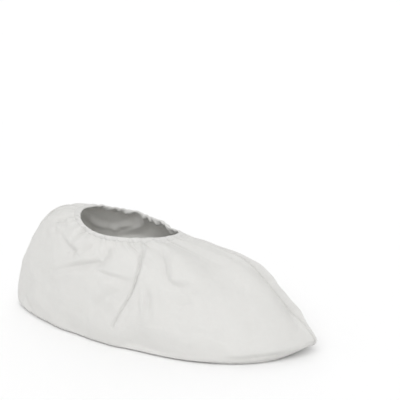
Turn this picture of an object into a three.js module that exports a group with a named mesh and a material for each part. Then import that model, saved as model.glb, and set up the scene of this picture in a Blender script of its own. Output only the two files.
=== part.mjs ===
// A disposable shoe cover: a soft bag of coated non-woven cloth that stands on its own sole,
// sewn up over the instep and up the heel, with an elastic hem around the ankle opening.
// Millimetres, +Z up, +X from heel to toe. The origin is in the middle of the footprint.
import * as THREE from 'three';
import { ParametricGeometry } from 'three/addons/geometries/ParametricGeometry.js';
import { mergeVertices } from 'three/addons/utils/BufferGeometryUtils.js';

// Driving dimensions
const CLOTH = 1.4; // wall of the bag
const GAP = 0.3; // clear space between sewn pieces
const HEM_LEVEL = 0.06; // level at which the hem ends and the bag begins
const HEM_CLEAR = 0.002; // levels kept free above and below the hem's section
const HEM_THICK = 2.8; // casing with the elastic in it
const SEAM_THICK = 1.8; // two layers of cloth and the overlock thread
const SEAM_LEAN = 0.4; // sideways lean to the inner side as a share of a seam's rise
const FRONT_STAND = 7.5; // how far the front seam stands off the cloth
const HEEL_STAND = 2.4; // how far the heel seam stands off the cloth
const SEAM_DIP = 9; // half width of the dip in the cloth beside a seam
const DIP_SHARE = 0.3; // depth of that dip as a share of the seam's stand
const DIP_BEGINS = [0.2, 0.42]; // levels between which the dip sets in
const DIP_ENDS = [0.66, 0.82]; // levels between which the dip dies out
const SOLE_SPINE = 0.8; // length of the sole's middle line as a share of its edge loop
const SOLE_CALM = [0.9, 1]; // levels between which the folds die out towards the sole
const SOLE_TURN = [0.93, 1]; // levels between which the cloth turns to face the floor

// Mesh steps
const SLICES = 120; // around the bag and the hem
const SIDE_CROWD = 0.22; // moves slices from the toe and heel to the long sides
const HEM_SIDES = 8;
const SEAM_SIDES = 8;
const SEAM_STEPS = 3; // between two rings of the bag
const FOLD_STEPS = 14; // along a fold's line
const SLOPE_STEP = 0.01; // of the angle and the level, to find the way out of the cloth
const WELD = 1e-3; // points nearer than this are one point

// The bag's sections, from the rim (level 0) to the edge of the sole (level 1).
// toe and heel are the X of a section's ends and half is its half width. toeZ, sideZ and heelZ are
// its heights there. toeRound and heelRound are 0.5 for an elliptical end and more for a pointed one,
// and ball widens the front half.
const LOOPS = [
  // level, toe, heel, half, toeZ, sideZ, heelZ, toeRound, heelRound, ball
  [0.00, 16.5, -78, 37.5, 92, 93.5, 102, 0.54, 0.56, -0.06],
  [0.06, 25.5, -85.5, 39.5, 91, 89.5, 101.5, 0.53, 0.54, 0],
  [0.14, 45.5, -97.5, 44.5, 87.5, 84.5, 100.5, 0.58, 0.52, 0.01],
  [0.32, 89, -120.5, 54, 74.5, 69, 85.5, 0.78, 0.52, 0.06],
  [0.55, 115, -141, 61.5, 52, 42, 54, 0.82, 0.54, 0.15],
  [0.78, 140, -150.5, 67.5, 24, 18, 25, 0.74, 0.53, 0.22],
  [0.88, 150, -151.5, 67, 12, 7.5, 12, 0.72, 0.5, 0.23],
  [0.95, 144, -150, 64.5, 6.5, 1, 3.5, 0.57, 0.46, 0.25],
  [1.00, 133, -142, 59, 0, 0, 0, 0.46, 0.43, 0.28],
];

// Levels at which the bag's wall has a ring of points
const WALL_LEVELS = [
  0.062, 0.085, 0.115, 0.15, 0.2, 0.26, 0.33, 0.41, 0.5, 0.6, 0.7, 0.79, 0.87, 0.92, 0.96, 1,
];

// Folds and dents: start, middle and end as angle in degrees and level, half width, and depth.
// The angle is 0 at the toe and 180 at the heel, and less than 0 on the outer side of the foot.
// A ridge has a depth below 0.
const FOLDS = [
  // start, middle, end, width, depth
  [[-62, 0.1], [-78, 0.33], [-91, 0.7], 6, 3.2],
  [[-123, 0.46], [-113, 0.37], [-102, 0.3], 6.5, 2.4],
  [[-101, 0.37], [-92, 0.38], [-84, 0.38], 6, 1.8],
  [[-89, 0.1], [-95, 0.22], [-100, 0.31], 7, 2.4],
  [[-135, 0.25], [-125, 0.28], [-117, 0.28], 6.5, 2],
  [[-117, 0.28], [-111, 0.2], [-104, 0.13], 6.5, 1.8],
  [[-49, 0.12], [-62, 0.29], [-62, 0.4], 7, 2.4],
  [[-85, 0.42], [-96, 0.58], [-104, 0.73], 9, 2],
  [[-42, 0.14], [-53, 0.3], [-50, 0.48], 11, -2.2],
  [[-29, 0.16], [-37, 0.33], [-38, 0.46], 11, 2],
  [[-90, 0.76], [-84, 0.88], [-81, 0.98], 22, 5],
  [[-74, 0.72], [-62, 0.75], [-50, 0.83], 9, -1.4],
  [[-56, 0.86], [-36, 0.85], [-15, 0.86], 14, -4.5],
  [[54, 0.08], [40, 0.17], [25, 0.38], 18, 14],
  [[110, 0], [75, 0], [36, 0.03], 24, 5],
  [[64, 0.1], [72, 0.3], [84, 0.58], 7, 2.8],
  [[98, 0.12], [106, 0.24], [118, 0.36], 7, 2.4],
  [[128, 0.5], [112, 0.42], [96, 0.4], 6.5, 2.2],
  [[44, 0.16], [54, 0.3], [50, 0.5], 10, -2.2],
  [[34, 0.17], [40, 0.34], [36, 0.52], 10, 2.2],
  [[76, 0.46], [92, 0.6], [104, 0.72], 9, 1.8],
  [[82, 0.82], [86, 0.9], [90, 0.96], 14, 2.4],
  [[142, 0.28], [134, 0.36], [124, 0.38], 6.5, 2],
];

// Gathers that the elastic pulls into the cloth: count around the opening, size, the level over
// which they die out, and how much they wander.
const GATHERS = [
  // count, size, fade, wander
  [27, 1.6, 0.09, 1.5],
  [17, 1.5, 0.15, 1.1],
  [7, 1.2, 0.24, 0.6],
];
const WANDER_WAVES = [3, 5]; // slow waves around the opening that lead the gathers astray
const RIM_HOLD = 0.15; // share of the gathers left at the rim, where the elastic holds it
const SEAM_CALM = [2, 12]; // distances from a seam between which the gathers set in

// The seams along their length: level, share of the full stand and share of the full thickness
const FRONT_SEAM = [
  // level, stand, thick
  [0.064, 0.15, 0.8],
  [0.12, 0.22, 0.9],
  [0.3, 0.65, 0.9],
  [0.4, 0.9, 1],
  [0.5, 0.85, 1],
  [0.58, 0.8, 1],
  [0.7, 0.95, 1],
  [0.8, 0.45, 1.1],
  [0.86, 0.4, 2],
  [0.89, 0.4, 2],
  [0.92, 0.25, 1.1],
];
const HEEL_SEAM = [
  // level, stand, thick
  [0.064, 0.4, 0.8],
  [0.15, 1, 1],
  [0.66, 1, 1],
  [0.82, 0.7, 1],
  [0.92, 0.4, 0.9],
];
const SEAM_WANDER = 0.5; // sideways wave of the overlocked edge
const SEAM_WAVES = 9;
const FOLD_ENDS = 0.12; // how far into its rise and fall a fold starts and ends

const DOWN = new THREE.Vector3(0, 0, -1);
const { clamp, degToRad, lerp, smoothstep } = THREE.MathUtils;

/** Smooth curves through the columns of a table whose first column is the level. */
function tableCurves(rows) {
  const levels = rows.map((row) => row[0]);
  const values = rows.flatMap((row) => row.slice(1));
  const curves = new THREE.CubicInterpolant(levels, values, rows[0].length - 1, []);
  return (level) => curves.evaluate(level);
}

const loopAt = tableCurves(LOOPS);
const frontSeamAt = tableCurves(FRONT_SEAM);
const heelSeamAt = tableCurves(HEEL_SEAM);

/** A point of the smooth bag. With plain set, the section's ends are elliptical. */
function sheetPoint(angle, level, plain = false) {
  const [toe, heel, half, toeZ, sideZ, heelZ, toeRound, heelRound, ball] = loopAt(level);
  const along = Math.cos(angle);
  const across = Math.sin(angle);
  const toeShare = 0.5 + 0.5 * along;
  const round = plain ? 0.5 : lerp(heelRound, toeRound, toeShare);
  const endZ = along > 0 ? toeZ : heelZ;
  return new THREE.Vector3(
    lerp(heel, toe, toeShare),
    half * Math.sign(across) * Math.abs(across) ** (2 * round) * (1 + ball * along),
    sideZ + along ** 2 * (endZ - sideZ),
  );
}

/** The way out of the cloth: the normal of the bag with elliptical ends, turned down at the sole. */
function outward(angle, level) {
  const low = Math.min(level + SLOPE_STEP, 1);
  const high = Math.max(level - SLOPE_STEP, 0);
  const before = sheetPoint(angle - SLOPE_STEP, level, true);
  const around = sheetPoint(angle + SLOPE_STEP, level, true).sub(before);
  const upward = sheetPoint(angle, high, true).sub(sheetPoint(angle, low, true));
  const normal = around.cross(upward).normalize();
  return normal.lerp(DOWN, smoothstep(level, ...SOLE_TURN)).normalize();
}

/** Each fold as a chain of points on the smooth bag. */
const foldLines = FOLDS.map(([start, middle, end, width, depth]) => {
  const stops = [start, middle, end].map(([degrees, level]) => sheetPoint(degToRad(degrees), level));
  return { points: new THREE.CatmullRomCurve3(stops).getPoints(FOLD_STEPS), width, depth };
});

const segment = new THREE.Line3();
const nearest = new THREE.Vector3();

/** Shortest distance from a point to a chain of points, and the share of the chain where it is met. */
function nearestOnChain(point, chain) {
  const found = { distance: Infinity, share: 0 };
  for (let i = 1; i < chain.length; i += 1) {
    segment.set(chain[i - 1], chain[i]).closestPointToPoint(point, true, nearest);
    const distance = nearest.distanceTo(point);
    if (distance < found.distance) {
      found.distance = distance;
      found.share = (i - 1 + segment.closestPointToPointParameter(point, true)) / (chain.length - 1);
    }
  }
  return found;
}

/** Rounded furrow: 1 in its middle and 0 well outside its half width. */
function furrow(distance, width) {
  return Math.exp(-((distance / width) ** 2));
}

/** How deep a fold is at a point: deepest half way along, and shallow at both its ends. */
function foldDepth(point, { points, width, depth }) {
  const { distance, share } = nearestOnChain(point, points);
  return depth * furrow(distance, width) * Math.sin(Math.PI * lerp(FOLD_ENDS, 1 - FOLD_ENDS, share));
}

/** How far the gathers push the cloth out. */
function gathers(angle, level) {
  const [slow, quick] = WANDER_WAVES;
  let push = 0;
  GATHERS.forEach(([count, size, fade, wander], row) => {
    const astray = Math.sin(slow * angle + row) + Math.sin(quick * angle - row);
    push += size * Math.cos(count * angle + wander * astray) * Math.exp(-level / fade);
  });
  return push * lerp(RIM_HOLD, 1, smoothstep(level, 0, HEM_LEVEL));
}

/** How deep the cloth dips beside the seam on its half of the bag. */
function seamDip(angle, level, side) {
  const isFront = Math.cos(angle) > 0;
  const standShare = (isFront ? frontSeamAt(level) : heelSeamAt(level))[0];
  const stand = (isFront ? FRONT_STAND : HEEL_STAND) * standShare;
  const window = smoothstep(level, ...DIP_BEGINS) * (1 - smoothstep(level, ...DIP_ENDS));
  return DIP_SHARE * stand * furrow(side, SEAM_DIP) * window;
}

/** How far the cloth lies from the smooth bag: gathers, folds and the dips beside the seams. */
function cloth(angle, level) {
  const point = sheetPoint(angle, level);
  let push = gathers(angle, level) * smoothstep(Math.abs(point.y), ...SEAM_CALM);
  push -= seamDip(angle, level, point.y);
  foldLines.forEach((fold) => {
    push -= foldDepth(point, fold);
  });
  return push * (1 - smoothstep(level, ...SOLE_CALM));
}

/** A point of the real cloth, moved out of it by a distance. */
function clothPoint(angle, level, distance) {
  return sheetPoint(angle, level).addScaledVector(outward(angle, level), cloth(angle, level) + distance);
}

/** A point over the bag's straight facets between two of its rings, moved out by a distance. */
function facetPoint(angle, level, distance) {
  const below = Math.max(1, WALL_LEVELS.findIndex((ring) => ring >= level));
  const [high, low] = [WALL_LEVELS[below - 1], WALL_LEVELS[below]];
  const share = (level - high) / (low - high);
  return clothPoint(angle, high, distance).lerp(clothPoint(angle, low, distance), share);
}

/** The angle of a share of the way around, with the slices crowded on the long sides. */
function angleAround(share) {
  const turn = 2 * Math.PI * share;
  return turn + SIDE_CROWD * Math.sin(2 * turn);
}

/** Splits the four-sided facets from one stack on along their other diagonal. */
function turnDiagonals(corners, firstFacet) {
  for (let i = 6 * firstFacet; i < corners.length; i += 6) {
    const [a, b, d, , c] = corners.slice(i, i + 6);
    corners.set([a, b, c, a, c, d], i);
  }
}

/** One closed surface from a function of two shares, with its seams merged and its poles closed. */
function closedSurface(pointAt, slices, stacks, turnFrom = stacks) {
  const surface = new ParametricGeometry((u, v, target) => target.copy(pointAt(u, v)), slices, stacks);
  turnDiagonals(surface.index.array, turnFrom * slices);
  surface.deleteAttribute('normal');
  surface.deleteAttribute('uv');
  const merged = mergeVertices(surface, WELD);
  const corners = merged.index.array;
  const kept = [];
  for (let i = 0; i < corners.length; i += 3) {
    const [a, b, c] = corners.slice(i, i + 3);
    if (a !== b && b !== c && c !== a) {
      kept.push(a, b, c);
    }
  }
  merged.setIndex(kept);
  merged.computeVertexNormals();
  return merged;
}

/**
 * The bag: up the outer wall from the sole's middle line, over the edge and down the inner wall.
 * The inner facets are split like the outer ones, so that the wall keeps its thickness.
 */
function bodyGeometry() {
  const climb = [...WALL_LEVELS].reverse();
  const rows = [
    { level: 1, distance: 0, spine: true },
    ...climb.map((level) => ({ level, distance: 0 })),
    ...WALL_LEVELS.map((level) => ({ level, distance: -CLOTH })),
    { level: 1, distance: -CLOTH, spine: true },
  ];
  return closedSurface((u, v) => {
    const { level, distance, spine } = rows[Math.round(v * (rows.length - 1))];
    const point = clothPoint(angleAround(u), level, distance);
    return spine ? point.multiply(new THREE.Vector3(SOLE_SPINE, 0, 1)) : point;
  }, SLICES, rows.length - 1, rows.length / 2);
}

/** The hem: a flattened ring of casing along the rim, gathered like the cloth below it. */
function hemGeometry() {
  const reach = HEM_LEVEL / 2 - HEM_CLEAR;
  return closedSurface((u, v) => {
    const turn = 2 * Math.PI * v;
    const level = HEM_LEVEL / 2 - reach * Math.cos(turn);
    const distance = -CLOTH / 2 - (HEM_THICK / 2) * Math.sin(turn);
    return clothPoint(angleAround(u), Math.max(level, 0), distance);
  }, SLICES, HEM_SIDES);
}

/** Levels along a seam: the bag's rings between its ends, each stretch in equal steps. */
function seamLevels(first, last) {
  const stops = [first, ...WALL_LEVELS.filter((level) => level > first && level < last), last];
  const levels = [first];
  for (let i = 1; i < stops.length; i += 1) {
    for (let step = 1; step <= SEAM_STEPS; step += 1) {
      levels.push(lerp(stops[i - 1], stops[i], step / SEAM_STEPS));
    }
  }
  return levels;
}

/** A seam: a thin standing strip along one line of the bag, with both its ends closed. */
function seamGeometry(angle, rows, stand, shareAt) {
  const levels = seamLevels(rows[0][0], rows[rows.length - 1][0]);
  const stacks = levels.length + 1;
  return closedSurface((u, v) => {
    const row = Math.round(v * stacks);
    const isEnd = row === 0 || row === stacks;
    const level = levels[clamp(row - 1, 0, levels.length - 1)];
    const [standShare, thickShare] = shareAt(level);
    const turn = 2 * Math.PI * (u + 0.5 / SEAM_SIDES);
    const side = isEnd ? 0 : (SEAM_THICK / 2) * thickShare * Math.cos(turn);
    const rise = isEnd ? 0.5 : 0.5 + 0.5 * Math.sin(turn);
    const height = stand * standShare * rise;
    const wave = SEAM_WANDER * rise * Math.sin(2 * Math.PI * SEAM_WAVES * level);
    const sideways = (side + wave) * Math.cos(angle) + SEAM_LEAN * height;
    return facetPoint(angle, level, GAP + height).add(new THREE.Vector3(0, sideways, 0));
  }, SEAM_SIDES, stacks);
}

/** A named piece with its own cloth-like material. */
function piece(name, geometry, color, roughness) {
  const material = new THREE.MeshStandardMaterial({ color, roughness, metalness: 0 });
  const mesh = new THREE.Mesh(geometry, material);
  mesh.name = name;
  return mesh;
}

const shoeCover = new THREE.Group();
shoeCover.name = 'shoe_cover';
shoeCover.add(piece('body', bodyGeometry(), '#e6e5e0', 0.62));
shoeCover.add(piece('elastic_hem', hemGeometry(), '#e4e3dd', 0.7));
shoeCover.add(piece('front_seam', seamGeometry(0, FRONT_SEAM, FRONT_STAND, frontSeamAt), '#e8e7e2', 0.75));
shoeCover.add(piece('heel_seam', seamGeometry(Math.PI, HEEL_SEAM, HEEL_STAND, heelSeamAt), '#e8e7e2', 0.75));

export default shoeCover;
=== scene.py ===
"""Disposable shoe cover: a soft bag of coated non-woven cloth, gathered on an elastic ankle hem.

+Z is up and +X goes from heel to toe. Objects are in metres, and lengths in the values and tables
below are millimetres where no comment says metres. Every surface is a function of two parameters:
the angle around the bag (0 at the toe, 180 degrees at the heel, less than 0 on the outer side of
the foot) and the level down its wall (0 at the rim, 1 at the edge of the sole).
"""

import bpy
import numpy as np
from mathutils import Matrix, Vector


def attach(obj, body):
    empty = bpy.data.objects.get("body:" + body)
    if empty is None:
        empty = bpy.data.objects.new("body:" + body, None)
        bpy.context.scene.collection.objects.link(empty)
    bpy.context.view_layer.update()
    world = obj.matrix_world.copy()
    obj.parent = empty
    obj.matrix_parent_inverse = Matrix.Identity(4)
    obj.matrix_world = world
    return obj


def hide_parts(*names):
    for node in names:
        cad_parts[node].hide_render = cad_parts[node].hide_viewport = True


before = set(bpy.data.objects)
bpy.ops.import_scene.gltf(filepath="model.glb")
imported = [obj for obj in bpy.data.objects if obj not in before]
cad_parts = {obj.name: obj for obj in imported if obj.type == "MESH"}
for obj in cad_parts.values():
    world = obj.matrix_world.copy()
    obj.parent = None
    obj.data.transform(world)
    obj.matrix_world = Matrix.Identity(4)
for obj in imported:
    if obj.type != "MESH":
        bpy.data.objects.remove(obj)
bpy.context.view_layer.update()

MM = 0.001
NO_LENGTH = 1e-9  # stands for a length of 0 in a division
SLOPE_STEP = 0.01  # step in angle or level over which the bag's slopes are taken

# Cloth and sole
CLOTH_WALL = 0.4  # coated non-woven
SOLE_SPINE = 0.8  # length of the sole's middle line as a share of its edge loop
SOLE_TURN = (0.93, 1)  # levels between which the way out turns straight down
SOLE_CALM = (0.9, 1)  # levels between which all folds and crumples die out

# Hem
HEM_LEVEL = 0.06  # level at which the hem ends
HEM_THICK = 2.6  # casing with the elastic in it
HEM_TUCK = 0.012  # levels that the cloth runs on into the casing
HEM_EDGE = 0.002  # levels that the casing keeps clear of the rim and of the hem's end
HEM_SINK = 0.6  # depth of the casing's middle below the cloth
HEM_ROUND = 0.8  # power that shapes the casing's section, 1 for an ellipse and less for a flatter one
RUFFLE_SCALLOPS = (0.4, 47, 1.4, 4)  # size, count around the opening, wander, count of the wander
RUFFLE_WAVES = (0.3, 29, 2, 3)  # the same four for plain waves
RUFFLE_RISE = 0.3  # upward share of the way that the ruffles push

# Seams
SEAM_THICK = 1.5  # two layers of cloth and the overlock thread
SEAM_ROOT = 0.4  # depth of a seam strip below the cloth beside it
FRONT_STAND = 7.5  # how far the instep seam stands off the cloth
HEEL_STAND = 2.4  # the same for the heel seam
SEAM_LEAN = 0.4  # sideways lean to the inner side as a share of the rise
SEAM_WANDER = 0.5  # size of the sideways wave of a seam's edge
SEAM_WAVES = 9  # waves down the whole wall
SEAM_DIP = 6.5  # half width of the dip in the cloth beside a seam
DIP_SHARE = 0.3  # depth of that dip as a share of the seam's stand
DIP_BEGINS = (0.2, 0.42)  # levels between which the dip sets in
DIP_ENDS = (0.66, 0.82)  # levels between which it dies out
FILLET_SHARE = 0.6  # share of a seam's stand that the cloth climbs at its foot, outside of the dip
FILLET_REACH = 3.2  # half width of that climb
GATHERS_BEGIN = (2, 12)  # distances from a seam between which gathers and tucks set in
CRUMPLES_BEGIN = (2, 14)  # the same for crumples

# Thread
THREAD = 0.4  # thickness of the sewing thread
THREAD_SIDES = 5
HEM_STITCHES = 76
STITCH_POINTS = 7  # points on the line of a stitch
STITCH_SHARE = 0.68  # length of a stitch as a share of its pitch
STITCH_PLACE = 1.3  # half turns around the casing's section to the row of stitches
STITCH_LIFT = 0.5  # rise of a stitch's middle over its ends
STITCH_SINK = 0.35  # depth of its ends in the casing
OVERLOCK_PITCH = 2.6  # from loop to loop
OVERLOCK_POINTS = 11  # points on the line of a loop
OVERLOCK_CLEAR = (0.02, 0.01)  # levels without thread at a seam's upper and lower end
OVERLOCK_SAMPLES = 400  # points at which a seam's length is measured
OVERLOCK_SLANT = 0.5  # pitches that a loop leans along the seam
OVERLOCK_TURNS = (-0.25, 1.25)  # half turns around the seam's section at which a loop starts and ends
OVERLOCK_LIFT = 0.3  # thread thicknesses that a loop stands off the seam

# Floor, in metres
SWEEP_START = 0.2  # radius of the middle disc
SWEEP_FLOOR = 4.0  # radius at which the floor turns up
SWEEP_BEND = 1.4  # radius of that turn
SWEEP_FLOOR_RINGS = 8
SWEEP_BEND_RINGS = 13
SWEEP_SLICES = 96
FLOOR_DROP = 0.0004  # keeps the floor clear of the sole

# Camera: the point of the cover that it is aimed by, where that point lands in the 400-pixel frame, the
# angle that it is seen from, and the camera's distance and field of view
FRAME_PIXELS = 400
AIM = np.array([2.1, 0, 50]) * MM
AIM_PIXEL = np.array([162.3, 274.4])
VIEW_AZIMUTH = np.radians(28)
VIEW_ELEVATION = np.radians(20)
VIEW_DISTANCE = 1.2  # metres
FOCAL_PIXELS = 1320
SENSOR = 36.0

# Light
SURROUNDINGS = 0.69  # strength of the even white surroundings
LIGHTS = [
    # name, azimuth, elevation and spread in degrees, strength
    ("key_light", 16, 48, 50, 1.3),
    ("back_light", 205, 40, 60, 0.3),
]

# Cloths: colour where the web is dense and where it is thin, lowest and highest roughness, weight of the
# creases in the film, strength of the relief, and the share of the light that passes through
CLOTHS = [
    # name, dense, thin, smooth, rough, creases, relief, thinness
    ("coated_cloth", (0.84, 0.835, 0.815), (0.8, 0.795, 0.775), 0.46, 0.62, 1, 0.35, 0.25),
    ("hem_cloth", (0.74, 0.735, 0.717), (0.69, 0.685, 0.667), 0.55, 0.7, 0.3, 0.35, 0.1),
    ("white_thread", (0.75, 0.745, 0.73), (0.7, 0.695, 0.68), 0.6, 0.75, 0, 0.2, 0.05),
]
RELIEF_DEPTH = 0.0005  # metres

# Numbers of the sockets of a mix node, whose names are not unique
MIX_FACTOR = 0
MIX_FLOATS = (2, 3)
MIX_FLOAT_RESULT = 0
MIX_COLORS = (6, 7)
MIX_COLOR_RESULT = 2

# Mesh steps
SLICES = 496
WALL_ROWS = 97
SOLE_ROWS = 3
SIDE_CROWD = 0.32  # moves slices from the toe and heel to the long sides
HEM_SLICES = 720
HEM_SIDES = 18
SEAM_ROWS = 260
SEAM_SIDES = 14

# Sections of the bag. toe and heel are the X of a section's ends, half is its half width, and toe_z,
# side_z and heel_z are its heights there. A round of 0.5 is an elliptical end, and more a pointed one.
# ball widens the front half.
ELLIPSE = 0.5
LOOPS = np.array([
    # level, toe, heel, half, toe_z, side_z, heel_z, toe_round, heel_round, ball
    [0.00, 16.5, -78, 37.5, 92, 93.5, 102, 0.54, 0.56, -0.06],
    [0.06, 25.5, -85.5, 39.5, 91, 89.5, 101.5, 0.53, 0.54, 0],
    [0.14, 45.5, -97.5, 44.5, 87.5, 84.5, 100.5, 0.58, 0.52, 0.01],
    [0.32, 89, -120.5, 54, 74.5, 69, 85.5, 0.78, 0.52, 0.06],
    [0.55, 115, -141, 61.5, 52, 42, 54, 0.82, 0.54, 0.15],
    [0.78, 140, -150.5, 67.5, 24, 18, 25, 0.74, 0.53, 0.22],
    [0.88, 150, -151.5, 67, 12, 7.5, 12, 0.72, 0.5, 0.23],
    [0.95, 144, -150, 64.5, 6.5, 1, 3.5, 0.57, 0.46, 0.25],
    [1.00, 133, -142, 59, 0, 0, 0, 0.46, 0.43, 0.28],
])

# Folds: stops as angle in degrees and level, half widths to the left and right of the way along the
# fold as seen from outside, depth (a ridge has less than 0), heights of the lips left and right of it,
# sharpness (2 is a round furrow and 1 a crease) and the share of the depth at the first and last stop.
FOLDS = [
    # stops, half widths, depth, lips, sharpness, ends
    # Outer side of the foot: the long crease, and the creases and the V behind it
    ([(-57, 0.05), (-63, 0.12), (-69, 0.18), (-74, 0.24), (-77, 0.3), (-80, 0.38), (-83, 0.48), (-86, 0.56),
      (-90, 0.67), (-93, 0.76)], (1.2, 0.8), 3, (0.6, 0), 1.2, (0.4, 0.5)),
    ([(-127, 0.49), (-113, 0.378), (-106, 0.325), (-101, 0.293)],
     (1.9, 4), 3.2, (0.4, 0.6), 1.3, (0.5, 0.8)),
    ([(-102, 0.36), (-92, 0.375), (-83, 0.385)], (2, 4.5), 2.4, (0.4, 0.5), 1.3, (0.3, 0.2)),
    ([(-88, 0.07), (-95, 0.21), (-101, 0.32)], (4.5, 4), 3, (0.7, 0.5), 1.6, (0.3, 0.4)),
    ([(-137, 0.23), (-126, 0.27), (-118, 0.285)], (3, 3.5), 2.4, (0.8, 0), 1.5, (0.1, 0.9)),
    ([(-118, 0.285), (-111, 0.205), (-103, 0.13)], (3, 3.5), 2, (0.8, 0), 1.5, (0.9, 0.1)),
    ([(-130, 0.15), (-120, 0.2), (-113, 0.16)], (8, 8), -2, (0, 0), 2, (0.2, 0.2)),
    # Outer side: the hooked crease towards the toe
    ([(-47, 0.1), (-56, 0.2), (-62, 0.29), (-64, 0.36), (-62, 0.395), (-58, 0.405), (-53, 0.41)],
     (2.4, 4), 2.6, (0.8, 0), 1.4, (0.4, 0.1)),
    # Outer side: soft valleys, ridges and the waist of the sole line
    ([(-84, 0.41), (-96, 0.58), (-105, 0.74)], (7, 6), 3, (0, 0.8), 2, (0.5, 0.3)),
    ([(-74.5, 0.41), (-75, 0.52), (-77, 0.65)], (3, 2.5), 2, (0.3, 1.2), 1.6, (0.2, 0.1)),
    ([(-42, 0.12), (-53, 0.3), (-50, 0.48)], (11, 9), -2.2, (0, 0), 2, (0.5, 0.1)),
    ([(-28, 0.14), (-36, 0.3), (-35, 0.42), (-26, 0.5)], (12, 11), 2.4, (0, 0), 2, (0.4, 0.2)),
    ([(-90, 0.74), (-84, 0.88), (-81, 1)], (24, 24), 6, (0, 0), 2, (0.1, 1)),
    ([(-78, 0.7), (-64, 0.74), (-55, 0.76), (-47, 0.84)], (6, 8), -2.5, (0, 0), 1.8, (0.2, 0.1)),
    ([(-133, 0.33), (-125, 0.45), (-120, 0.6), (-119, 0.76)], (12, 9), -1.5, (0, 0), 2, (0.3, 0.2)),
    ([(-143, 0.37), (-137, 0.48), (-132, 0.64), (-130, 0.8)], (9, 9), 0.9, (0, 0), 2, (0.3, 0.2)),
    # Outer side: small creases of the heel and the side
    ([(-66, 0.5), (-60, 0.53), (-55, 0.5)], (4, 4), 1, (0.3, 0.3), 1.6, (0.1, 0.1)),
    ([(-150, 0.2), (-143, 0.25), (-137, 0.22)], (2.6, 3), 1.8, (0.4, 0.4), 1.4, (0.1, 0.2)),
    ([(-152, 0.13), (-144, 0.16), (-134, 0.13)], (2.6, 3), 1.8, (0.5, 0.3), 1.4, (0.1, 0.2)),
    ([(-146, 0.1), (-150, 0.17), (-158, 0.24)], (3, 3), 1.6, (0.4, 0.4), 1.4, (0.4, 0.1)),
    ([(-152, 0.86), (-146, 0.9), (-140, 0.94)], (3, 4), 2, (0.5, 0), 1.5, (0.2, 0.4)),
    # Outer side: the bulge over the edge of the sole below the toe
    ([(-56, 0.875), (-44, 0.865), (-32, 0.865), (-15, 0.87)], (24, 3), -5, (0, 0), 1.8, (0.05, 0.3)),
    # Inner side of the foot
    ([(52, 0.1), (46, 0.13), (40, 0.17), (32, 0.26), (25, 0.38)], (22, 15), 14, (0, 0), 2, (0.5, 0.25)),
    ([(110, 0), (85, 0), (60, 0.01), (36, 0.03)], (24, 24), 5, (0, 0), 2, (0.1, 0.5)),
    ([(62, 0.08), (70, 0.24), (79, 0.42), (88, 0.66)], (1.9, 4), 3, (0.7, 0), 1.2, (0.25, 0.1)),
    ([(97, 0.08), (106, 0.24), (116, 0.36)], (4, 4.5), 2.8, (0.5, 0.6), 1.6, (0.3, 0.2)),
    ([(128, 0.5), (113, 0.42), (97, 0.4)], (5, 2.2), 2.6, (0.5, 0.5), 1.3, (0.1, 0.4)),
    ([(44, 0.14), (54, 0.3), (50, 0.5)], (10, 10), -2.4, (0, 0), 2, (0.4, 0.1)),
    ([(33, 0.15), (40, 0.34), (36, 0.52)], (10, 10), 2.8, (0, 0), 2, (0.4, 0.1)),
    ([(78, 0.44), (92, 0.6), (102, 0.74)], (6, 8), 2, (0.5, 0), 2, (0.3, 0.1)),
    ([(82, 0.82), (86, 0.9), (90, 0.96)], (14, 14), 2.4, (0, 0), 2, (0.2, 0.3)),
    ([(144, 0.24), (134, 0.33), (122, 0.35)], (3.5, 3), 2.4, (0, 0.7), 1.5, (0.1, 0.5)),
    ([(122, 0.35), (112, 0.25), (107, 0.14)], (3, 3), 1.8, (0, 0.6), 1.5, (0.9, 0.2)),
    ([(150, 0.12), (144, 0.19), (136, 0.16)], (3, 3), 1.8, (0.4, 0.4), 1.4, (0.2, 0.2)),
    ([(60, 0.7), (72, 0.73), (84, 0.72)], (9, 6), -1.6, (0, 0), 1.8, (0.1, 0.1)),
]
FOLD_POINTS = 26  # points on the line of a fold
FOLD_TAPER = 0.35  # share of a fold's length over which each end tapers
LIP_REACH = 2  # half widths from a fold's line to the top of its lip

# Gathers that the elastic pulls into the cloth
GATHERS = [
    # count around the opening, size, level over which they die out, wander
    (31, 1.5, 0.1, 1.7),
    (17, 1.5, 0.15, 1.1),
    (7, 1.2, 0.24, 0.6),
]
WANDER_TURNS = (3, 5)  # counts around the opening of the two sines that lead the gathers astray
RIM_HOLD = 0.15  # share of the gathers left at the rim, where the elastic holds it
RIM_FREE = 1.3  # level at which the elastic lets go of them, in hem levels
SCALLOP_ROUND = 0.01  # rounds the bottoms of a scallop's valleys

# Small tucks below the hem
TUCKS = 34
TUCK_SEED = 7
TUCK_SCATTER = 0.36  # most that a tuck leaves its place, in shares of the space between two
TUCK_SLANT = 0.9  # most turn in radians down the whole wall
TUCK_LENGTHS = (0.09, 0.26)  # levels
TUCK_DEPTHS = (1, 2.6)
TUCK_WIDTH = 1.9  # half width at the rim
TUCK_SPREAD = 14  # growth of the half width down the whole wall
TUCK_SHARPNESS = 1.4

# Crumples
CRUMPLE_SEED = 11
CRUMPLE_LENGTHS = (64, 52, 43, 35, 29, 24)
CRUMPLE_RISE = 0.012  # height as a share of the length
CRUMPLE_BEND = 1.3  # radians that the slow sine bends a wave
CRUMPLE_BEND_LENGTH = 2.3  # length of that sine in lengths of its wave
TOE_CRUMPLE = 0.35  # share of the crumples at the toe

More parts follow.
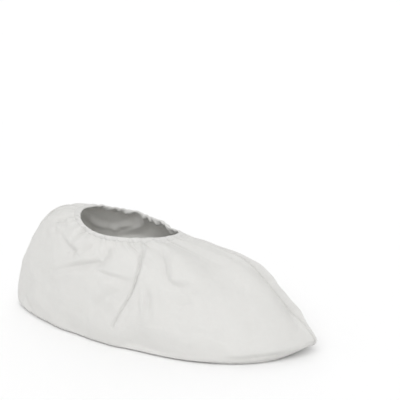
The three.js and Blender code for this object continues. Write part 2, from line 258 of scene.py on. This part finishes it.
# Seams along their length
FRONT_SEAM = np.array([
    # level, share of the full stand, share of the full thickness
    [0.05, 0.15, 0.8],
    [0.12, 0.22, 0.9],
    [0.3, 0.65, 0.9],
    [0.4, 0.9, 1],
    [0.5, 0.85, 1],
    [0.58, 0.8, 1],
    [0.7, 0.95, 1],
    [0.8, 0.45, 1.1],
    [0.86, 0.3, 2],
    [0.89, 0.3, 2],
    [0.92, 0.25, 1.1],
])
HEEL_SEAM = np.array([
    # level, share of the full stand, share of the full thickness
    [0.05, 0.4, 0.8],
    [0.15, 1, 1],
    [0.66, 1, 1],
    [0.82, 0.7, 1],
    [0.92, 0.4, 0.9],
])


def smoothstep(value, low, high):
    """0 below low, 1 above high, and the cubic 3t^2 - 2t^3 of the share t between them."""
    share = np.clip((value - low) / (high - low), 0, 1)
    return share * share * (3 - 2 * share)


def blend(start, end, share):
    """Straight blend: start plus share times the way to end."""
    return start + share * (end - start)


def unit(vectors):
    """Vectors divided by their length."""
    return vectors / np.maximum(np.linalg.norm(vectors, axis=-1, keepdims=True), NO_LENGTH)


def table_curves(table, level):
    """Cubic curves through a table's columns over its first column.

    The slope at a row is the mean of the straight slopes before and after it, and at the first and
    last row it is the one straight slope there.
    """
    stops, values = table[:, 0], table[:, 1:]
    straight = np.diff(values, axis=0) / np.diff(stops)[:, None]
    slopes = np.vstack([straight[:1], (straight[1:] + straight[:-1]) / 2, straight[-1:]])
    row = np.clip(np.searchsorted(stops, level, side="right") - 1, 0, len(stops) - 2)
    step = (stops[row + 1] - stops[row])[..., None]
    t = (level - stops[row])[..., None] / step
    rise = (
        values[row] * (1 + 2 * t) * (1 - t) ** 2
        + values[row + 1] * t**2 * (3 - 2 * t)
        + slopes[row] * step * t * (1 - t) ** 2
        - slopes[row + 1] * step * t**2 * (1 - t)
    )
    return np.moveaxis(rise, -1, 0)


def bag_points(angle, level, plain=False):
    """The smooth bag.

    x runs between heel and toe with the cosine of the angle. y is the half width times a power of
    the sine, wider at the ball. z goes from the side's height to the end's with the squared cosine.
    A plain bag has elliptical ends at every level.
    """
    angle, level = np.broadcast_arrays(angle, np.clip(level, 0, 1))
    toe, heel, half, toe_z, side_z, heel_z, toe_round, heel_round, ball = table_curves(LOOPS, level)
    along, across = np.cos(angle), np.sin(angle)
    toe_share = 0.5 + 0.5 * along
    roundness = ELLIPSE if plain else blend(heel_round, toe_round, toe_share)
    width = half * np.sign(across) * np.abs(across) ** (2 * roundness) * (1 + ball * along)
    end_z = np.where(along > 0, toe_z, heel_z)
    return np.stack([blend(heel, toe, toe_share), width, side_z + along**2 * (end_z - side_z)], -1)


def way_out(angle, level):
    """Outward normal of the plain bag: the cross product of its slopes around and upwards.

    It turns straight down at the edge of the sole.
    """
    around = bag_points(angle + SLOPE_STEP, level, True) - bag_points(angle - SLOPE_STEP, level, True)
    upward = bag_points(angle, level - SLOPE_STEP, True) - bag_points(angle, level + SLOPE_STEP, True)
    normal = unit(np.cross(around, upward))
    down = smoothstep(np.broadcast_to(level, normal.shape[:-1]), *SOLE_TURN)[..., None]
    return unit(blend(normal, np.array([0, 0, -1.0]), down))


def fold_push(points, normals, fold):
    """How far one fold moves the cloth.

    The depth falls off with exp(-(distance / half width) ^ sharpness) from a smooth line through the
    fold's stops, with a half width and a rounded lip of its own on each side, and it all tapers
    towards both ends.
    """
    stops, half_widths, depth, lips, sharpness, ends = fold
    table = np.column_stack([np.arange(len(stops)), np.array(stops, float)])
    degrees, level = table_curves(table, np.linspace(0, len(stops) - 1, FOLD_POINTS))
    line = bag_points(np.radians(degrees), level)
    start, run = line[:-1], np.diff(line, axis=0)
    away = points.reshape(-1, 1, 3) - start
    share = np.clip((away * run).sum(-1) / (run * run).sum(-1), 0, 1)
    gap = away - share[..., None] * run
    distance = np.linalg.norm(gap, axis=-1)
    nearest = distance.argmin(1)
    pick = np.arange(len(nearest))
    leftward = np.cross(normals.reshape(-1, 3), run[nearest])
    is_left = (gap[pick, nearest] * leftward).sum(-1) > 0
    reach = distance[pick, nearest] / np.where(is_left, *half_widths)
    along = (nearest + share[pick, nearest]) / len(run)
    taper = np.minimum(
        blend(ends[0], 1, smoothstep(along, 0, FOLD_TAPER)),
        blend(ends[1], 1, smoothstep(1 - along, 0, FOLD_TAPER)),
    )
    furrow = depth * np.exp(-(reach**sharpness))
    lip = np.where(is_left, *lips) * np.exp(-((reach - LIP_REACH) ** 2))
    return ((lip - furrow) * taper).reshape(points.shape[:-1])


def scallop(phase):
    """A wave from about -1 to 1 with round crests and sharp valleys: twice the size of a half-speed
    cosine, less 1."""
    return 2 * np.sqrt(np.cos(phase / 2) ** 2 + SCALLOP_ROUND) - 1


def gather_push(angle, level):
    """Scallops around the opening, led astray by slower sines, which die out down the wall and which
    the elastic holds back at the rim."""
    slow, fast = WANDER_TURNS
    push = 0
    for row, (count, size, fade, wander) in enumerate(GATHERS):
        phase = count * angle + wander * np.sin(slow * angle + row) + wander * np.sin(fast * angle - row)
        push = push + size * scallop(phase) * np.exp(-level / fade)
    return push * blend(RIM_HOLD, 1, smoothstep(level, 0, RIM_FREE * HEM_LEVEL))


def tuck_push(angle, level):
    """Small tucks below the hem: furrows at scattered angles, each with its own slant and length."""
    draw = np.random.default_rng(TUCK_SEED)
    scatter = draw.uniform(-TUCK_SCATTER, TUCK_SCATTER, TUCKS)
    places = 2 * np.pi * (np.arange(TUCKS) + scatter) / TUCKS
    slants = draw.uniform(-TUCK_SLANT, TUCK_SLANT, TUCKS)
    lengths = draw.uniform(*TUCK_LENGTHS, TUCKS)
    depths = draw.uniform(*TUCK_DEPTHS, TUCKS)
    around = bag_points(angle + SLOPE_STEP, level) - bag_points(angle - SLOPE_STEP, level)
    reach = np.linalg.norm(around, axis=-1) / (2 * SLOPE_STEP)
    width = TUCK_WIDTH + TUCK_SPREAD * level
    push = 0
    for place, slant, length, depth in zip(places, slants, lengths, depths):
        turn = np.angle(np.exp(1j * (angle - place - slant * level)))
        furrow = depth * np.exp(-(np.abs(reach * turn / width) ** TUCK_SHARPNESS))
        push = push - furrow * np.exp(-((level / length) ** 2))
    return push * smoothstep(level, 0, HEM_LEVEL)


def crumple_push(points, amount):
    """Paper-like crumples: a sum of triangle waves in scattered directions, each bent by a slow sine."""
    draw = np.random.default_rng(CRUMPLE_SEED)
    push = 0
    for length in CRUMPLE_LENGTHS:
        way = unit(draw.normal(size=3))
        bend = unit(draw.normal(size=3))
        start, late = draw.uniform(0, 2 * np.pi, 2)
        turn = 2 * np.pi * (points @ way) / length + start
        slow_turn = 2 * np.pi * (points @ bend) / (CRUMPLE_BEND_LENGTH * length) + late
        turn = turn + CRUMPLE_BEND * np.sin(slow_turn)
        push = push + CRUMPLE_RISE * length * np.arcsin(np.sin(turn)) * 2 / np.pi
    return push * amount


def dip_window(level):
    """1 over the levels where the cloth dips beside a seam, and 0 above and below them."""
    return smoothstep(level, *DIP_BEGINS) * (1 - smoothstep(level, *DIP_ENDS))


def cloth_points(angle, level, distance=0):
    """The real cloth, in metres: the smooth bag moved along its outward normal by the gathers, tucks,
    folds and crumples, by the dips beside the seams and the climbs at their feet, and then by a
    distance."""
    angle, level = np.broadcast_arrays(angle, level)
    points, normals = bag_points(angle, level), way_out(angle, level)
    side = np.abs(points[..., 1])
    push = (gather_push(angle, level) + tuck_push(angle, level)) * smoothstep(side, *GATHERS_BEGIN)
    front_stand = FRONT_STAND * table_curves(FRONT_SEAM, level)[0]
    heel_stand = HEEL_STAND * table_curves(HEEL_SEAM, level)[0]
    stand = np.where(np.cos(angle) > 0, front_stand, heel_stand)
    dip = dip_window(level)
    push = push - DIP_SHARE * stand * dip * np.exp(-((side / SEAM_DIP) ** 2))
    push = push + FILLET_SHARE * stand * (1 - dip) * np.exp(-((side / FILLET_REACH) ** 2))
    for fold in FOLDS:
        push = push + fold_push(points, normals, fold)
    heel_share = 0.5 - 0.5 * np.cos(angle)
    crumples = blend(TOE_CRUMPLE, 1, heel_share) * smoothstep(side, *CRUMPLES_BEGIN)
    push = push + crumple_push(points, crumples)
    push = push * (1 - smoothstep(level, *SOLE_CALM))
    return (points + normals * (push + distance)[..., None]) * MM


def angles_around(count):
    """Angles of the slices, in equal turns crowded towards the long sides by a sine of twice the turn."""
    turn = 2 * np.pi * np.arange(count) / count
    return turn + SIDE_CROWD * np.sin(2 * turn)


def grid_index(points):
    """Point numbers in the order of a grid of points."""
    return np.arange(points[..., 0].size).reshape(points.shape[:-1])


def grid_faces(index, closed_rows=False):
    """Four-sided faces between neighbours of a grid of point numbers whose columns close on themselves."""
    upper = index if closed_rows else index[:-1]
    lower = np.roll(index, -1, 0) if closed_rows else index[1:]
    corners = [upper, lower, np.roll(lower, -1, 1), np.roll(upper, -1, 1)]
    return np.stack(corners, -1).reshape(-1, 4)


def mesh_piece(name, points, faces, material):
    """A smooth-shaded object from an array of points and a list of arrays of faces."""
    mesh = bpy.data.meshes.new(name)
    face_list = [face for part in faces for face in part.tolist()]
    mesh.from_pydata(points.reshape(-1, 3).tolist(), [], face_list)
    mesh.materials.append(material)
    mesh.shade_smooth()
    piece = bpy.data.objects.new(name, mesh)
    bpy.context.scene.collection.objects.link(piece)
    return piece


def cover_body(material):
    """The bag: its cloth over a grid of angles and levels, and below it the sole, which closes on a
    straight middle line by a straight blend from its edge. Both sides share the points of that line."""
    angle = angles_around(SLICES)
    share = np.linspace(0, 1, WALL_ROWS)[:, None]
    level = blend(HEM_LEVEL - HEM_TUCK, 1, share)
    wall = cloth_points(angle[None, :], level)
    edge = wall[-1]
    spine = edge * np.array([SOLE_SPINE, 0, 1])
    inward = (np.arange(1, SOLE_ROWS + 1) / SOLE_ROWS)[:, None, None]
    sole = blend(edge[None], spine[None], inward)
    points = np.concatenate([wall, sole])
    index = grid_index(points)
    column = np.arange(SLICES)
    index[-1] = index[-1][np.minimum(column, (SLICES - column) % SLICES)]
    used, corners = np.unique(grid_faces(index), return_inverse=True)
    piece = mesh_piece("cover_body", points.reshape(-1, 3)[used], [corners.reshape(-1, 4)], material)
    wall_thickness = piece.modifiers.new("cloth_wall", "SOLIDIFY")
    wall_thickness.thickness = CLOTH_WALL * MM
    wall_thickness.offset = -1
    return piece


def hem_points(angle, turn, extra=0):
    """The casing: a flattened ring whose section goes from the rim to the hem's end with the cosine of
    the turn and from outside to inside with its sine, ruffled by scallops and waves around the opening
    that slower sines lead astray."""
    reach = HEM_LEVEL / 2 - HEM_EDGE
    level = HEM_LEVEL / 2 - reach * np.cos(turn)
    size, count, wander, slow = RUFFLE_SCALLOPS
    ruffle = size * scallop(count * angle + wander * np.sin(slow * angle))
    size, count, wander, slow = RUFFLE_WAVES
    ruffle = ruffle + size * np.cos(count * angle + wander * np.sin(slow * angle))
    bulge = np.sign(np.sin(turn)) * np.abs(np.sin(turn)) ** HEM_ROUND
    distance = -(HEM_THICK / 2 + extra) * bulge - HEM_SINK
    points = cloth_points(angle, np.maximum(level, 0), distance)
    outward = way_out(angle, np.full(points.shape[:-1], HEM_LEVEL)) * np.array([1, 1, RUFFLE_RISE])
    return points + outward * (ruffle * MM)[..., None]


def hem_casing(material):
    """The casing's ring over a grid of turns and angles."""
    angle = angles_around(HEM_SLICES)[None, :]
    turn = 2 * np.pi * np.arange(HEM_SIDES)[:, None] / HEM_SIDES
    points = hem_points(angle, turn)
    return mesh_piece("hem_casing", points, [grid_faces(grid_index(points), True)], material)


def thread_piece(name, lines, outs, material):
    """Short lengths of thread: a ring around each point of each line, with both ends capped.

    lines and outs have a row for each length of thread, and outs are the ways off the cloth.
    """
    run = unit(np.gradient(lines, axis=1))
    across = unit(np.cross(run, outs))
    upward = np.cross(across, run)
    turn = 2 * np.pi * np.arange(THREAD_SIDES) / THREAD_SIDES
    ring = across[..., None, :] * np.cos(turn)[:, None] + upward[..., None, :] * np.sin(turn)[:, None]
    points = lines[..., None, :] + ring * (THREAD / 2 * MM)
    index = grid_index(points)
    near, far = index[:, :-1], index[:, 1:]
    sleeve = np.stack([near, far, np.roll(far, -1, 2), np.roll(near, -1, 2)], -1).reshape(-1, 4)
    return mesh_piece(name, points, [sleeve, index[:, 0], index[:, -1, ::-1]], material)


def hem_stitches(material):
    """The row of stitches along the lower edge of the casing: each rises over it with a sine and dives
    into it at both ends."""
    begin = 2 * np.pi * np.arange(HEM_STITCHES)[:, None] / HEM_STITCHES
    share = np.linspace(0, 1, STITCH_POINTS)[None, :]
    angle = begin + STITCH_SHARE * 2 * np.pi / HEM_STITCHES * share
    turn = np.full_like(angle, STITCH_PLACE * np.pi)
    lift = STITCH_LIFT * np.sin(np.pi * share) - STITCH_SINK
    lines = hem_points(angle, turn, lift)
    outs = way_out(angle, np.full_like(angle, HEM_LEVEL))
    return thread_piece("hem_stitches", lines, outs, material)


def seam_points(angle, rows, stand, level, turn, extra=0):
    """A standing seam: a flattened section around a line of the cloth. Its side goes with the cosine of
    the turn and its rise off the cloth with the sine, and its edge wanders sideways in a slow wave.
    Where the cloth climbs at its foot, the seam is lower by the same share."""
    level, turn = np.broadcast_arrays(level, turn)
    stand_share, thick_share = table_curves(rows, level)
    stand_share = stand_share * (1 - FILLET_SHARE * (1 - dip_window(level)))
    side = (SEAM_THICK / 2 * thick_share + extra) * np.cos(turn)
    rise = 0.5 + 0.5 * np.sin(turn)
    wave = SEAM_WANDER * rise * np.sin(2 * np.pi * SEAM_WAVES * level)
    height = blend(-SEAM_ROOT, stand * stand_share, rise) + extra * np.sin(turn)
    points = cloth_points(np.full(level.shape, angle), level, height)
    points[..., 1] += ((side + wave) * np.cos(angle) + SEAM_LEAN * height) * MM
    return points


def seam_strip(name, angle, rows, stand, material):
    """The two layers of cloth of a seam, over a grid of levels and turns, with both ends capped."""
    level = np.linspace(rows[0, 0], rows[-1, 0], SEAM_ROWS)[:, None]
    turn = -2 * np.pi * np.arange(SEAM_SIDES)[None, :] / SEAM_SIDES
    points = seam_points(angle, rows, stand, level, turn * np.cos(angle))
    index = grid_index(points)
    return mesh_piece(name, points, [grid_faces(index), index[:1], index[-1:, ::-1]], material)


def overlock(name, angle, rows, stand, material):
    """Overlock thread: loops that climb one face of a seam, pass over its edge and go down the other,
    each leaning part of a pitch along the seam."""
    first, last = rows[0, 0] + OVERLOCK_CLEAR[0], rows[-1, 0] - OVERLOCK_CLEAR[1]
    level = np.linspace(first, last, OVERLOCK_SAMPLES)
    spine = seam_points(angle, rows, stand, level, np.pi / 2)
    length = np.concatenate([[0], np.cumsum(np.linalg.norm(np.diff(spine, axis=0), axis=1))])
    count = int(length[-1] / (OVERLOCK_PITCH * MM))
    share = np.linspace(0, 1, OVERLOCK_POINTS)[None, :]
    place = (np.arange(count)[:, None] + OVERLOCK_SLANT * share) * OVERLOCK_PITCH * MM
    stitch_level = np.interp(place, length, level)
    turn = blend(*OVERLOCK_TURNS, share) * np.pi
    lines = seam_points(angle, rows, stand, stitch_level, turn, THREAD * OVERLOCK_LIFT)
    centre = seam_points(angle, rows, stand, stitch_level, turn, -SEAM_THICK / 2)
    return thread_piece(name, lines, unit(lines - centre), material)


def set_values(node, values):
    """Gives input sockets of a shader node their values."""
    for socket, value in values.items():
        node.inputs[socket].default_value = value


def new_node(tree, kind, place, values=None, **settings):
    """A shader node at a place in its tree, with its settings and the values of its input sockets."""
    node = tree.nodes.new(kind)
    node.location = place
    for name, value in settings.items():
        setattr(node, name, value)
    set_values(node, values or {})
    return node


def nonwoven_group():
    """Film-coated non-woven: a cloudy web of fibres, small bond points and fine creases in the film.

    The web's clouds mix the two colours and the two roughnesses. The height is the sum of the bond
    points, the fibres and the creases, which are the edges of warped cells.
    """
    tree = bpy.data.node_groups.new("coated_nonwoven", "ShaderNodeTree")
    face = tree.interface
    face.new_socket("Vector", in_out="INPUT", socket_type="NodeSocketVector")
    for name, value in (("Dense Color", (0.8, 0.8, 0.8, 1)), ("Thin Color", (0.75, 0.75, 0.75, 1))):
        face.new_socket(name, in_out="INPUT", socket_type="NodeSocketColor").default_value = value
    for name, value in (("Smooth", 0.45), ("Rough", 0.6), ("Creases", 1.0)):
        face.new_socket(name, in_out="INPUT", socket_type="NodeSocketFloat").default_value = value
    face.new_socket("Color", in_out="OUTPUT", socket_type="NodeSocketColor")
    face.new_socket("Roughness", in_out="OUTPUT", socket_type="NodeSocketFloat")
    face.new_socket("Height", in_out="OUTPUT", socket_type="NodeSocketFloat")
    source = new_node(tree, "NodeGroupInput", (-1000, 0))
    result = new_node(tree, "NodeGroupOutput", (800, 0))
    link = tree.links.new

    cloud_values = {"Scale": 120, "Detail": 4, "Roughness": 0.65}
    fibre_values = {"Scale": 900, "Detail": 2, "Distortion": 1.5}
    bond_values = {"Scale": 420, "Randomness": 0.35}
    cloud = new_node(tree, "ShaderNodeTexNoise", (-700, 300), cloud_values)
    fibre = new_node(tree, "ShaderNodeTexNoise", (-700, 0), fibre_values)
    bond = new_node(tree, "ShaderNodeTexVoronoi", (-700, -300), bond_values)
    warp = new_node(tree, "ShaderNodeTexNoise", (-900, -600), {"Scale": 45})
    for texture in (cloud, fibre, bond, warp):
        link(source.outputs["Vector"], texture.inputs["Vector"])
    warp_size = {1: (0.02, 0.02, 0.02)}
    bent = new_node(tree, "ShaderNodeVectorMath", (-700, -600), warp_size, operation="MULTIPLY_ADD")
    link(warp.outputs["Color"], bent.inputs[0])
    link(source.outputs["Vector"], bent.inputs[2])
    crease = new_node(
        tree, "ShaderNodeTexVoronoi", (-500, -600), {"Scale": 48}, feature="DISTANCE_TO_EDGE"
    )
    link(bent.outputs["Vector"], crease.inputs["Vector"])
    valley = new_node(
        tree, "ShaderNodeMapRange", (-300, -600), {"From Max": 0.22}, interpolation_type="SMOOTHSTEP"
    )
    link(crease.outputs["Distance"], valley.inputs["Value"])

    color = new_node(tree, "ShaderNodeMix", (400, 300), data_type="RGBA")
    link(cloud.outputs["Fac"], color.inputs[MIX_FACTOR])
    link(source.outputs["Thin Color"], color.inputs[MIX_COLORS[0]])
    link(source.outputs["Dense Color"], color.inputs[MIX_COLORS[1]])
    link(color.outputs[MIX_COLOR_RESULT], result.inputs["Color"])
    rough = new_node(tree, "ShaderNodeMix", (400, 0), data_type="FLOAT")
    link(cloud.outputs["Fac"], rough.inputs[MIX_FACTOR])
    link(source.outputs["Smooth"], rough.inputs[MIX_FLOATS[0]])
    link(source.outputs["Rough"], rough.inputs[MIX_FLOATS[1]])
    link(rough.outputs[MIX_FLOAT_RESULT], result.inputs["Roughness"])

    bond_share, fibre_share = {1: 0.25}, {1: 0.3}
    points = new_node(tree, "ShaderNodeMath", (-300, -300), bond_share, operation="MULTIPLY")
    link(bond.outputs["Distance"], points.inputs[0])
    web = new_node(tree, "ShaderNodeMath", (-100, -100), fibre_share, operation="MULTIPLY_ADD")
    link(fibre.outputs["Fac"], web.inputs[0])
    link(points.outputs[0], web.inputs[2])
    film = new_node(tree, "ShaderNodeMath", (-100, -500), operation="MULTIPLY")
    link(valley.outputs["Result"], film.inputs[0])
    link(source.outputs["Creases"], film.inputs[1])
    height = new_node(tree, "ShaderNodeMath", (100, -300), operation="ADD")
    link(web.outputs[0], height.inputs[0])
    link(film.outputs[0], height.inputs[1])
    link(height.outputs[0], result.inputs["Height"])
    return tree


def nonwoven(group, name, dense, thin, smooth, rough, creases, relief_strength, thinness):
    """A material of coated non-woven cloth from the shared group, mixed with light that passes through
    it."""
    material = bpy.data.materials.new(name)
    material.use_nodes = True
    tree = material.node_tree
    link = tree.links.new
    shader = tree.nodes["Principled BSDF"]
    set_values(shader, {"Specular IOR Level": 0.35, "Sheen Weight": 0.12, "Sheen Roughness": 0.5})
    place = new_node(tree, "ShaderNodeTexCoord", (-900, 0))
    cloth = new_node(tree, "ShaderNodeGroup", (-650, 0), node_tree=group)
    set_values(cloth, {"Dense Color": (*dense, 1), "Thin Color": (*thin, 1)})
    set_values(cloth, {"Smooth": smooth, "Rough": rough, "Creases": creases})
    relief_values = {"Strength": relief_strength, "Distance": RELIEF_DEPTH}
    relief = new_node(tree, "ShaderNodeBump", (-300, -200), relief_values)
    link(place.outputs["Object"], cloth.inputs["Vector"])
    link(cloth.outputs["Color"], shader.inputs["Base Color"])
    link(cloth.outputs["Roughness"], shader.inputs["Roughness"])
    link(cloth.outputs["Height"], relief.inputs["Height"])
    link(relief.outputs["Normal"], shader.inputs["Normal"])
    glow = new_node(tree, "ShaderNodeBsdfTranslucent", (0, -300))
    link(cloth.outputs["Color"], glow.inputs["Color"])
    link(relief.outputs["Normal"], glow.inputs["Normal"])
    both = new_node(tree, "ShaderNodeMixShader", (250, 100), {"Fac": thinness})
    link(shader.outputs["BSDF"], both.inputs[1])
    link(glow.outputs["BSDF"], both.inputs[2])
    link(both.outputs["Shader"], tree.nodes["Material Output"].inputs["Surface"])
    return material


def studio_sweep():
    """A round pale floor that turns up at its edge: a profile of a flat floor and a quarter circle,
    carried around the Z axis."""
    corner = np.linspace(0, np.pi / 2, SWEEP_BEND_RINGS)
    flat = np.linspace(SWEEP_START, SWEEP_FLOOR, SWEEP_FLOOR_RINGS)
    across = np.concatenate([flat, SWEEP_FLOOR + SWEEP_BEND * np.sin(corner)])
    upward = np.concatenate([np.zeros_like(flat), SWEEP_BEND * (1 - np.cos(corner))]) - FLOOR_DROP
    turn = 2 * np.pi * np.arange(SWEEP_SLICES) / SWEEP_SLICES
    points = np.stack([across[:, None] * np.cos(turn), across[:, None] * np.sin(turn)], -1)
    points = np.concatenate([points, np.broadcast_to(upward[:, None, None], points[..., :1].shape)], -1)
    material = bpy.data.materials.new("pale_floor")
    material.use_nodes = True
    shader = material.node_tree.nodes["Principled BSDF"]
    set_values(shader, {"Base Color": (0.94, 0.94, 0.94, 1), "Roughness": 0.9, "Specular IOR Level": 0.1})
    index = grid_index(points)
    return mesh_piece("pale_floor", points, [grid_faces(index), index[:1]], material)


def back_from(azimuth, elevation):
    """Unit way from the aim to a place at an azimuth around it, which is 0 on the outer side and a
    quarter turn at the toe, and an elevation above it."""
    level = np.array([np.sin(azimuth), -np.cos(azimuth), 0]) * np.cos(elevation)
    return level + np.array([0, 0, np.sin(elevation)])


def photo_camera():
    """A level camera that sees the aim at its pixel.

    The pitch and the yaw follow from the aim's slopes right and up in the frame: the way to the aim
    is forward plus these shares of the camera's right and up.
    """
    back = back_from(VIEW_AZIMUTH, VIEW_ELEVATION)
    to_right, to_up = (AIM_PIXEL - FRAME_PIXELS / 2) * np.array([1, -1]) / FOCAL_PIXELS
    stretch = np.sqrt((1 + to_right**2 + to_up**2) / (1 + to_up**2))
    pitch = np.arcsin(-back[2] * stretch) - np.arctan(to_up)
    ahead = np.cos(pitch) - to_up * np.sin(pitch)
    yaw = np.arctan2(-back[0], -back[1]) - np.arctan2(to_right, ahead)
    forward = np.array([np.sin(yaw) * np.cos(pitch), np.cos(yaw) * np.cos(pitch), np.sin(pitch)])
    right = np.array([np.cos(yaw), -np.sin(yaw), 0])
    upward = np.cross(right, forward)
    lens = bpy.data.cameras.new("photo_camera")
    lens.sensor_width = SENSOR
    lens.lens = FOCAL_PIXELS * SENSOR / FRAME_PIXELS
    camera = bpy.data.objects.new("photo_camera", lens)
    bpy.context.scene.collection.objects.link(camera)
    turn = Matrix(np.column_stack([right, upward, -forward]).tolist()).to_4x4()
    camera.matrix_world = Matrix.Translation((AIM + VIEW_DISTANCE * back).tolist()) @ turn
    bpy.context.scene.camera = camera


def soft_light(name, azimuth, elevation, spread, strength):
    """A wide distant light that shines on the cover from an azimuth and an elevation."""
    lamp = bpy.data.lights.new(name, "SUN")
    lamp.angle = np.radians(spread)
    lamp.energy = strength
    light = bpy.data.objects.new(name, lamp)
    bpy.context.scene.collection.objects.link(light)
    back = Vector(back_from(np.radians(azimuth), np.radians(elevation)).tolist())
    light.matrix_world = Matrix.Translation(back) @ back.to_track_quat("Z", "Y").to_matrix().to_4x4()


def studio():
    """Even white surroundings and two wide soft lights."""
    world = bpy.data.worlds.new("white_studio")
    world.use_nodes = True
    set_values(world.node_tree.nodes["Background"], {"Color": (1, 1, 1, 1), "Strength": SURROUNDINGS})
    bpy.context.scene.world = world
    bpy.context.scene.view_settings.view_transform = "Standard"
    for light in LIGHTS:
        soft_light(*light)


group = nonwoven_group()
cloth, hem_cloth, thread = [nonwoven(group, *values) for values in CLOTHS]

body = cover_body(cloth)
hem = hem_casing(hem_cloth)
stitches = hem_stitches(thread)
front = seam_strip("instep_seam", 0.0, FRONT_SEAM, FRONT_STAND, hem_cloth)
front_thread = overlock("instep_overlock", 0.0, FRONT_SEAM, FRONT_STAND, thread)
back = seam_strip("back_seam", np.pi, HEEL_SEAM, HEEL_STAND, hem_cloth)
back_thread = overlock("back_overlock", np.pi, HEEL_SEAM, HEEL_STAND, thread)

for piece, slot in (
    (body, "cloth"),
    (hem, "hem"),
    (stitches, "hem"),
    (front, "seam"),
    (front_thread, "seam"),
    (back, "seam"),
    (back_thread, "seam"),
):
    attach(piece, "root")
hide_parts("body")
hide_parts("elastic_hem")
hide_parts("front_seam")
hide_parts("heel_seam")
studio_sweep()
photo_camera()
studio()
